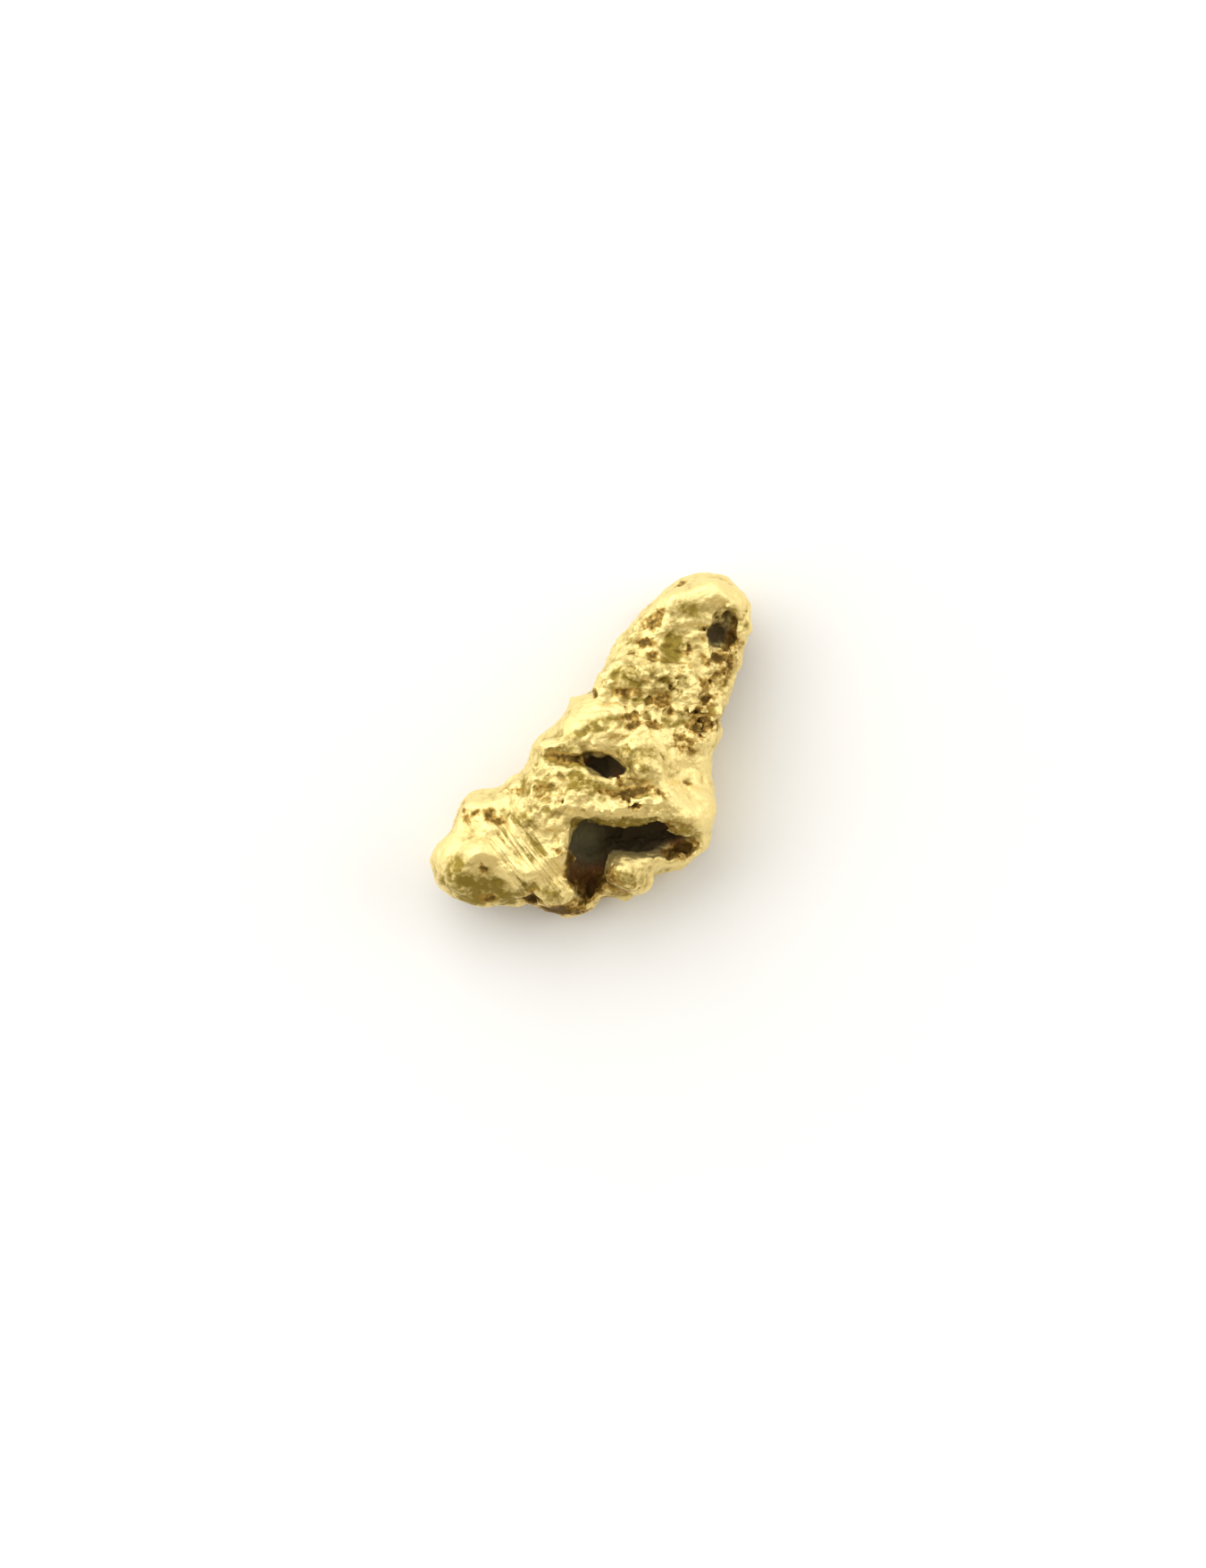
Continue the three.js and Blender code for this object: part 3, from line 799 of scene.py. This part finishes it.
# Dull olive faces, also painted shade where faces lean away from the light and under the brow's lip
DULL_AND_SHADED_FACES = [  # the same for the dull faces that the river's stones did not polish
    (1.4, 1.72, 0.2, 0.36, -8, 0.95),  # horn
    (1.74, 2.3, 0.38, 0.16, 8, 1.1),
    (1.74, 1.98, 0.24, 0.34, 0, 0.4),
    (0.75, 1.72, 0.16, 0.12, 0, 0.6),
    (1.2, 1.42, 0.18, 0.1, 0, 1.0),
    (0.62, 1.18, 0.32, 0.2, 0, 1.1),
    (1.25, 1.18, 0.38, 0.18, -10, 0.95),
    (1.33, 0.36, 0.2, 0.1, 0, 1.0),
    (2.2, 1.25, 0.16, 0.4, -8, 0.8),
    (0.6, 0.9, 0.32, 0.1, -8, 0.8),  # ledge
    (1.16, 0.73, 0.2, 0.14, 0, 0.9),
    (0.85, 0.73, 0.16, 0.1, 0, 0.9),
    (0.1, 0.3, 0.5, 0.13, 25, 1.2),  # shoulder
    (-0.36, -0.24, 0.36, 0.11, -12, 2.4),
    (0.1, -0.1, 0.4, 0.08, -10, 0.5),
    (-0.42, -0.04, 0.2, 0.08, 0, 0.9),
    (0.96, -0.32, 0.44, 0.26, 0, 1.05),  # middle
    (-0.06, -0.68, 0.28, 0.15, 0, 1.7),
    (-0.89, -0.46, 0.14, 0.1, 0, 0.9),
    (0.6, -0.15, 0.16, 0.12, 0, 1.0),
    (-0.82, -0.72, 0.26, 0.18, 0, 1.2),
    (-0.1, -0.57, 0.3, 0.1, -15, 1.2),
    (0.5, -0.84, 0.5, 0.14, -8, 0.6),
    (0.6, -1.33, 0.74, 0.09, 0, 2.0),
    (1.5, -1.42, 0.38, 0.18, -25, 1.5),
    (-1.1, -1.26, 0.26, 0.1, -20, 1.1),  # instep
    (-0.82, -1.08, 0.2, 0.08, -10, 1.1),
    (-2.16, -2.32, 0.34, 0.18, -20, 1.8),  # toe
    (-2.25, -2.0, 0.22, 0.14, 30, 1.2),
    (-2.34, -2.16, 0.13, 0.15, 0, 1.7),
    (-1.75, -2.38, 0.5, 0.2, 0, 1.3),
    (-1.7, -2.54, 0.5, 0.13, 3, 1.8),
    (-1.85, -2.0, 0.3, 0.16, 0, 0.3),
    (-1.15, -2.44, 0.36, 0.12, 8, 1.1),
    (-0.6, -2.52, 0.36, 0.18, 0, 1.4),
    (0.5, -2.26, 0.34, 0.26, 0, 1.6),  # knob
    (2.08, 0.62, 0.16, 0.2, 0, 1.1),
    (2.55, 2.02, 0.1, 0.14, 0, 1.4),
    (0.15, -0.92, 0.2, 0.07, 0, 1.0),
]
# Pale polished places, also painted light where faces should look lit
POLISHED_AND_LIT = [  # the same for places that stones polished
    (1.6, 1.97, 0.14, 0.14, 0, 0.9),
    (1.54, 1.22, 0.12, 0.1, 0, 0.8),
    (1.86, 0.86, 0.1, 0.1, 0, 0.8),
    (2.1, 2.48, 0.3, 0.16, 0, 1.0),
    (-1.36, -2.08, 0.2, 0.34, 38, 1.6),
    (-0.74, -1.44, 0.18, 0.14, 0, 0.9),
    (-0.66, -2.08, 0.32, 0.2, 0, 1.3),
    (-1.1, -1.6, 0.3, 0.3, 0, 0.5),
    (-1.62, -1.48, 0.2, 0.12, 0, 0.8),
    (-0.3, -2.44, 0.1, 0.14, 0, 0.8),
    (1.6, -0.4, 0.36, 0.4, 0, 0.9),
    (1.9, -1.05, 0.2, 0.3, 0, 0.6),
    (1.0, 0.15, 0.4, 0.12, 0, 0.5),
    (0.3, 0.66, 0.4, 0.14, 0, 0.6),
    (1.64, 0.7, 0.14, 0.16, 0, 1.0),
    (0.9, -1.9, 0.18, 0.1, 0, 1.2),
]
SCRATCHED = [(-1.12, -1.84, 0.62, 0.36, -52, 1.0)]  # where fine scratches cover the gold
CLAY = [(-0.12, -1.6, 0.3, 0.36, 0, 1.0)]  # pale clay on the hollow's left wall


def sampled(values, points):
    """The values of a grid at points in millimetres, read between its grid points."""
    place = points / VOXEL - first
    below = np.clip(np.floor(place).astype(int), 0, np.array(shape) - 2)
    share = place - below
    total = np.zeros(len(points))
    for corner in np.ndindex(2, 2, 2):
        weight = np.prod(np.where(corner, share, 1 - share), axis=1)
        total += weight * values[tuple((below + corner).T)]
    return total


def painted(places):
    """How strongly listed ellipses cover each point, seen from above."""
    cover = np.zeros(len(points))
    for x, y, half_x, half_y, turn, strength in places:
        dx, dy = turned(points[:, 0] - x, points[:, 1] - y, turn)
        away = (dx / half_x) ** 2 + (dy / half_y) ** 2
        cover = np.maximum(cover, strength * np.exp(-PAINT_EDGE * away**1.5))
    return cover * np.clip(points[:, 2] / PAINT_LOWEST, 0, 1)


points = vertex_places(skin.data) / MM
crease = sampled(shelter(block, CREASE_PEBBLE), points)
hollow = sampled(shelter(block, HOLLOW_PEBBLE), points)
solid = np.clip(0.5 - block / VOXEL, 0, 1)
burnish = 1 - 2 * sampled(blurred(solid, BURNISH_REACH), points)
grit = 1 - 2 * sampled(blurred(solid, GRIT_REACH), points)

upper = on_top(points[:, 2])
lines = SCRATCH_DULLNESS * all_scratches(points[:, 0], points[:, 1]) * upper
masks = {
    "burnish": burnish,
    "grit": grit,
    "stain": painted(STAINS),
    "clay": painted(CLAY),
    # olive dullness and painted shade, lessened by pale polish and painted light
    "patina_and_shade": painted(DULL_AND_SHADED_FACES) - painted(POLISHED_AND_LIT) + lines,
    "scratched": painted(SCRATCHED) * upper,
    "crease": crease,
    "hollow": hollow,
    "crumbly": crumbliness(points[:, 0], points[:, 1]),
}
for name, values in masks.items():
    attribute = skin.data.attributes.new(name, "FLOAT", "POINT")
    attribute.data.foreach_set("value", values.astype(np.float32))
print("burnish from", burnish.min().round(2), "to", burnish.max().round(2))
print("sheltered by up to", crease.max().round(2), "mm in creases,", hollow.max().round(2), "mm in hollows")

# %% [markdown]
# ## River wear
# The last relief follows the whole surface by a rule, so Geometry Nodes make it: fine dents everywhere, and
# angular grains where the gold is crumbly. The sizes are named inputs, and the seed moves the pattern.

# %% Gold material, still empty
gold = bpy.data.materials.new("native_gold")
gold.use_nodes = True
print("material:", gold.name)

# %% River wear by Geometry Nodes
WEAR_SIZES = {
    "Dent Width": 0.16 * MM,
    "Dent Depth": 0.014 * MM,
    "Grain Width": 0.13 * MM,
    "Grain Depth": 0.018 * MM,
}
WEAR_SEED = 4.0
DENTS_KEPT = 0.35  # how deep the dents of a smooth place are
GRAIN_MIDDLE = 0.45  # the distance in a cell of grain that is neither raised nor sunk


def link_all(*pairs):
    """Links each source to its target. A socket's id_data is the node tree that it is in."""
    for source, target in pairs:
        source.id_data.links.new(source, target)


def set_or_link(socket, value):
    if isinstance(value, bpy.types.NodeSocket):
        link_all((value, socket))
    else:
        socket.default_value = value


def maths(operation, a, b):
    tree = (a if isinstance(a, bpy.types.NodeSocket) else b).id_data
    node = tree.nodes.new("ShaderNodeMath")
    node.operation = operation
    set_or_link(node.inputs[0], a)
    set_or_link(node.inputs[1], b)
    return node.outputs[0]


def plus(a, b):
    return maths("ADD", a, b)


def minus(a, b):
    return maths("SUBTRACT", a, b)


def times(a, b):
    return maths("MULTIPLY", a, b)


def scaled_position(tree, width, seed):
    """The position in units of one width, moved by the seed."""
    position = tree.nodes.new("GeometryNodeInputPosition")
    scale = tree.nodes.new("ShaderNodeVectorMath")
    scale.operation = "SCALE"
    shift = tree.nodes.new("ShaderNodeVectorMath")
    shift.operation = "ADD"
    link_all(
        (position.outputs[0], scale.inputs[0]),
        (maths("DIVIDE", 1.0, width), scale.inputs["Scale"]),
        (scale.outputs[0], shift.inputs[0]),
        (seed, shift.inputs[1]),
    )
    return shift.outputs[0]


def wear_tree():
    tree = bpy.data.node_groups.new("river_wear", "GeometryNodeTree")
    face = tree.interface
    face.new_socket("Geometry", in_out="INPUT", socket_type="NodeSocketGeometry")
    for name in WEAR_SIZES:
        face.new_socket(name, in_out="INPUT", socket_type="NodeSocketFloat")
    face.new_socket("Seed", in_out="INPUT", socket_type="NodeSocketFloat")
    face.new_socket("Geometry", in_out="OUTPUT", socket_type="NodeSocketGeometry")
    start = tree.nodes.new("NodeGroupInput")
    end = tree.nodes.new("NodeGroupOutput")

    noise = tree.nodes.new("ShaderNodeTexNoise")
    noise.inputs["Scale"].default_value = 1.0
    noise.inputs["Detail"].default_value = 3.0
    cells = tree.nodes.new("ShaderNodeTexVoronoi")
    cells.inputs["Scale"].default_value = 1.0
    crumbly = tree.nodes.new("GeometryNodeInputNamedAttribute")
    crumbly.data_type = "FLOAT"
    crumbly.inputs["Name"].default_value = "crumbly"
    seed = start.outputs["Seed"]
    link_all(
        (scaled_position(tree, start.outputs["Dent Width"], seed), noise.inputs["Vector"]),
        (scaled_position(tree, start.outputs["Grain Width"], seed), cells.inputs["Vector"]),
    )
    dent = times(minus(noise.outputs[0], 0.5), start.outputs["Dent Depth"])
    dent = times(dent, plus(crumbly.outputs[0], DENTS_KEPT))
    grain = minus(GRAIN_MIDDLE, cells.outputs["Distance"])
    grain = times(grain, start.outputs["Grain Depth"])
    grain = times(grain, times(crumbly.outputs[0], crumbly.outputs[0]))

    normal = tree.nodes.new("GeometryNodeInputNormal")
    push = tree.nodes.new("ShaderNodeVectorMath")
    push.operation = "SCALE"
    move = tree.nodes.new("GeometryNodeSetPosition")
    realize = tree.nodes.new("GeometryNodeRealizeInstances")
    finish = tree.nodes.new("GeometryNodeSetMaterial")
    finish.inputs["Material"].default_value = gold
    link_all(
        (normal.outputs[0], push.inputs[0]),
        (plus(dent, grain), push.inputs["Scale"]),
        (start.outputs["Geometry"], move.inputs["Geometry"]),
        (push.outputs[0], move.inputs["Offset"]),
        (move.outputs[0], realize.inputs[0]),
        (realize.outputs[0], finish.inputs[0]),
        (finish.outputs[0], end.inputs[0]),
    )
    return tree


def worn(source, name):
    """A plain mesh object: the source with the river wear on it."""
    wear = source.modifiers.new("river_wear", "NODES")
    wear.node_group = wear_tree()
    items = wear.node_group.interface.items_tree
    sockets = {item.name: item.identifier for item in items if item.in_out == "INPUT"}
    for size_name, size in WEAR_SIZES.items():
        wear[sockets[size_name]] = size
    wear[sockets["Seed"]] = WEAR_SEED
    depsgraph = bpy.context.evaluated_depsgraph_get()
    mesh = bpy.data.meshes.new_from_object(source.evaluated_get(depsgraph))
    mesh.name = name
    result = placed(name, mesh)
    bpy.data.objects.remove(source)
    return result


nugget = worn(skin, "gold_nugget")
places = vertex_places(nugget.data)
places[:, 2] = np.maximum(places[:, 2], 0)  # nothing sinks into the table
nugget.data.vertices.foreach_set("co", places.ravel())
nugget.data.shade_smooth()
nugget.data.calc_loop_triangles()
print("finished mesh:", len(nugget.data.loop_triangles), "triangles")

# %% [markdown]
# ## The finish
# Native gold is a soft yellow metal, pale where stones burnished it and olive where they didn't. The olive is
# also painted shade on faces that lean away from the light, and creases are painted darker brown as shade.
# Iron stain is a thin brown film, in a few places under overhangs laid as painted shade, and dirt and pale
# clay lie in the deep hollow, where the dirt is also darkened as painted shade. These are dull, so they also
# lower the metal's share and roughen it. The finest scratches are a noise that is drawn out along them.

# %% Gold finish
GOLD_PALE = (0.91, 0.75, 0.335, 1)
# olive gold of dull faces, also used as painted shade on faces that lean away from the light
GOLD_DULL_AND_SHADED = (0.34, 0.25, 0.046, 1)
# brown that creases are darkened toward, as painted shade
CREASE_SHADE_BROWN = (0.24, 0.15, 0.03, 1)
STAIN_COLOUR = (0.115, 0.066, 0.014, 1)
CLAY_COLOUR = (0.21, 0.19, 0.105, 1)
# dark dirt in the hollow, darkened further as painted shade
DIRT_AND_SHADE_COLOUR = (0.085, 0.062, 0.028, 1)
RUSTY_GOLD = (0.52, 0.33, 0.075, 1)
RUST_COLOUR = (0.15, 0.06, 0.02, 1)
GRAIN_SCALE = 1 / (0.15 * MM)
FINE_SCALE = 1 / (0.07 * MM)
CLOUD_SCALE = 1 / (0.45 * MM)
BUMP_HEIGHT = 0.045 * MM
STREAK_SIZE = (1.3 * MM, 0.085 * MM, 1.3 * MM)  # fine scratches, along, across and into the gold
STREAK_TURN = math.radians(-52)
DULLEST = 1.2  # a mask of this much is fully olive
SHEEN = 0.1  # what dirt reflects, which is little


def attribute_value(tree, name):
    node = tree.nodes.new("ShaderNodeAttribute")
    node.attribute_name = name
    return node.outputs["Fac"]


def noise_value(coordinates, scale, detail):
    node = coordinates.id_data.nodes.new("ShaderNodeTexNoise")
    node.inputs["Scale"].default_value = scale
    node.inputs["Detail"].default_value = detail
    link_all((coordinates, node.inputs["Vector"]))
    return node.outputs["Fac"]


def ramp(value, low, high, to_low=0.0, to_high=1.0):
    node = value.id_data.nodes.new("ShaderNodeMapRange")
    node.interpolation_type = "SMOOTHSTEP"
    for name, number in (("From Min", low), ("From Max", high), ("To Min", to_low), ("To Max", to_high)):
        node.inputs[name].default_value = number
    link_all((value, node.inputs["Value"]))
    return node.outputs["Result"]


def mixed(share, a, b):
    node = share.id_data.nodes.new("ShaderNodeMix")
    node.data_type = "RGBA"
    link_all((share, node.inputs["Factor"]))
    set_or_link(node.inputs["A"], a)
    set_or_link(node.inputs["B"], b)
    return node.outputs["Result"]


def streak_value(coordinates):
    """A noise drawn out along the scratches: low in grooves and high on blades."""
    node = coordinates.id_data.nodes.new("ShaderNodeMapping")
    node.vector_type = "TEXTURE"
    node.inputs["Rotation"].default_value = (0, 0, STREAK_TURN)
    node.inputs["Scale"].default_value = STREAK_SIZE
    link_all((coordinates, node.inputs["Vector"]))
    return ramp(noise_value(node.outputs["Vector"], 1.0, 1), 0.36, 0.56)


def dull_and_shade_share(patina_and_shade, height, speckle, mottle):
    """How olive the gold is, partly as painted shade: less where it stands out, with clouds and grains in it.
    """
    grains = times(speckle, maths("MAXIMUM", plus(patina_and_shade, 1.6), 1.0))
    dullness_and_shade = maths("MINIMUM", minus(patina_and_shade, height), DULLEST)
    return ramp(plus(dullness_and_shade, plus(mottle, grains)), -0.5, DULLEST)


def stain_shares(stain, height, speckle, mottle):
    """How rusty the gold looks, and how thick the brown film on it is."""
    film = times(stain, plus(0.6, mottle))
    film = minus(film, times(height, 0.5))
    film = plus(film, times(speckle, 1.8))
    stained = ramp(stain, 0.1, 0.5)
    tint = times(ramp(film, 0.0, 0.6), stained)
    return tint, times(ramp(film, 0.3, 1.0, 0.0, 0.92), stained)


def bumpy(relief):
    bump = relief.id_data.nodes.new("ShaderNodeBump")
    bump.inputs["Strength"].default_value = 1.0
    bump.inputs["Distance"].default_value = BUMP_HEIGHT
    link_all((relief, bump.inputs["Height"]))
    return bump.outputs["Normal"]


def finish_gold(material):
    tree = material.node_tree
    shader = tree.nodes["Principled BSDF"]
    coordinates = tree.nodes.new("ShaderNodeTexCoord").outputs["Object"]
    cloud = noise_value(coordinates, CLOUD_SCALE, 4)
    grain = noise_value(coordinates, GRAIN_SCALE, 2)
    fine = noise_value(coordinates, FINE_SCALE, 1)
    names = ("crease", "hollow", "crumbly", "burnish", "grit", "stain", "scratched", "patina_and_shade", "clay")
    crease, hollow, crumbly, burnish, grit, stain, scratched, patina_and_shade, clay = (
        attribute_value(tree, name) for name in names
    )
    speckle = minus(plus(times(fine, 0.6), grain), 0.8)
    mottle = minus(cloud, 0.5)
    height = plus(burnish, times(grit, 1.6))
    blades = times(streak_value(coordinates), scratched)
    grooves = minus(times(scratched, 0.7), blades)
    patina_and_shade = plus(patina_and_shade, times(grooves, 1.6))

    # olive for dull faces and for painted shade where faces lean away from the light
    dullness_and_shade = dull_and_shade_share(patina_and_shade, height, speckle, mottle)
    # creases are painted darker brown as shade
    crease_shade = minus(plus(crease, times(speckle, 0.06)), times(grit, 0.2))
    tint, film = stain_shares(stain, height, speckle, mottle)
    # the deep hollow gets dirt, darkened further as painted shade
    dirt_and_shade = ramp(plus(hollow, times(speckle, 0.2)), 0.16, 0.42)
    colour = mixed(dullness_and_shade, GOLD_PALE, GOLD_DULL_AND_SHADED)
    colour = mixed(ramp(crease_shade, 0.04, 0.16, 0.0, 0.8), colour, CREASE_SHADE_BROWN)
    colour = mixed(tint, colour, RUSTY_GOLD)
    colour = mixed(film, colour, STAIN_COLOUR)
    soil_and_shade = mixed(clay, mixed(stain, DIRT_AND_SHADE_COLOUR, RUST_COLOUR), CLAY_COLOUR)
    colour = mixed(dirt_and_shade, colour, soil_and_shade)
    dull = maths("MAXIMUM", dirt_and_shade, times(film, 0.3))
    roughness = plus(ramp(dullness_and_shade, 0.0, 1.0, 0.55, 0.68), times(dull, 0.25))
    relief = plus(times(grain, plus(crumbly, 0.5)), times(fine, 0.25))
    relief = plus(relief, times(blades, 0.7))
    shader.inputs["Specular IOR Level"].default_value = SHEEN
    link_all(
        (colour, shader.inputs["Base Color"]),
        (minus(1.0, dull), shader.inputs["Metallic"]),
        (roughness, shader.inputs["Roughness"]),
        (bumpy(relief), shader.inputs["Normal"]),
    )


finish_gold(gold)
print("gold finish has", len(gold.node_tree.nodes), "nodes")

# %% [markdown]
# ## Floor and light
# A plain pale floor and soft light from large panels. Gold shows what it reflects: a bright panel behind the
# nugget lights every face that leans that way, and the dim, warm room in front leaves the other faces olive.

# %% Floor and lights
FLOOR_SIZE = 1.0
FLOOR_COLOUR = (0.86, 0.86, 0.86, 1)
FLOOR_ROUGHNESS = 0.9
PANELS = [  # name, place, size and brightness of each
    ("back_panel", (-0.22, 0.34, 0.36), 0.55, 1.5),
    ("left_panel", (-0.4, 0.05, 0.22), 0.35, 1.25),
    ("right_panel", (0.42, 0.1, 0.26), 0.35, 1.45),
]
ROOM_BRIGHT = (1, 1, 1, 1)  # the room above the nugget and behind it
ROOM_DIM = (0.44, 0.37, 0.22, 1)  # and low in front of it


def pale_floor():
    mesh = bpy.data.meshes.new("floor")
    half = FLOOR_SIZE / 2
    corners = [(-half, -half, 0), (half, -half, 0), (half, half, 0), (-half, half, 0)]
    mesh.from_pydata(corners, [], [(0, 1, 2, 3)])
    material = bpy.data.materials.new("pale_floor")
    material.use_nodes = True
    shader = material.node_tree.nodes["Principled BSDF"]
    shader.inputs["Base Color"].default_value = FLOOR_COLOUR
    shader.inputs["Roughness"].default_value = FLOOR_ROUGHNESS
    mesh.materials.append(material)
    return placed("floor", mesh)


def soft_panel(name, place, size, brightness):
    light = bpy.data.lights.new(name, "AREA")
    light.size = size
    light.energy = brightness * math.pi * size**2
    panel = placed(name, light)
    panel.location = place
    panel.rotation_euler = (-Vector(place)).to_track_quat("-Z", "Y").to_euler()


def studio_room():
    """Soft light from all round, dimmer in front of the nugget than behind it."""
    world = bpy.data.worlds.new("studio")
    world.use_nodes = True
    tree = world.node_tree
    split = tree.nodes.new("ShaderNodeSeparateXYZ")
    link_all((tree.nodes.new("ShaderNodeTexCoord").outputs["Generated"], split.inputs[0]))
    behind = minus(split.outputs["Y"], times(split.outputs["X"], 0.3))
    light = mixed(ramp(behind, -0.8, 0.2), ROOM_DIM, ROOM_BRIGHT)
    link_all((light, tree.nodes["Background"].inputs["Color"]))
    return world


floor = pale_floor()
for panel in PANELS:
    soft_panel(*panel)
bpy.context.scene.world = studio_room()
bpy.context.scene.view_settings.view_transform = "Standard"
print(len(PANELS), "soft panels")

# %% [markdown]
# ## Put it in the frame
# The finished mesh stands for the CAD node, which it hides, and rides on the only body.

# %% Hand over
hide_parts("nugget")
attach(nugget, "root")
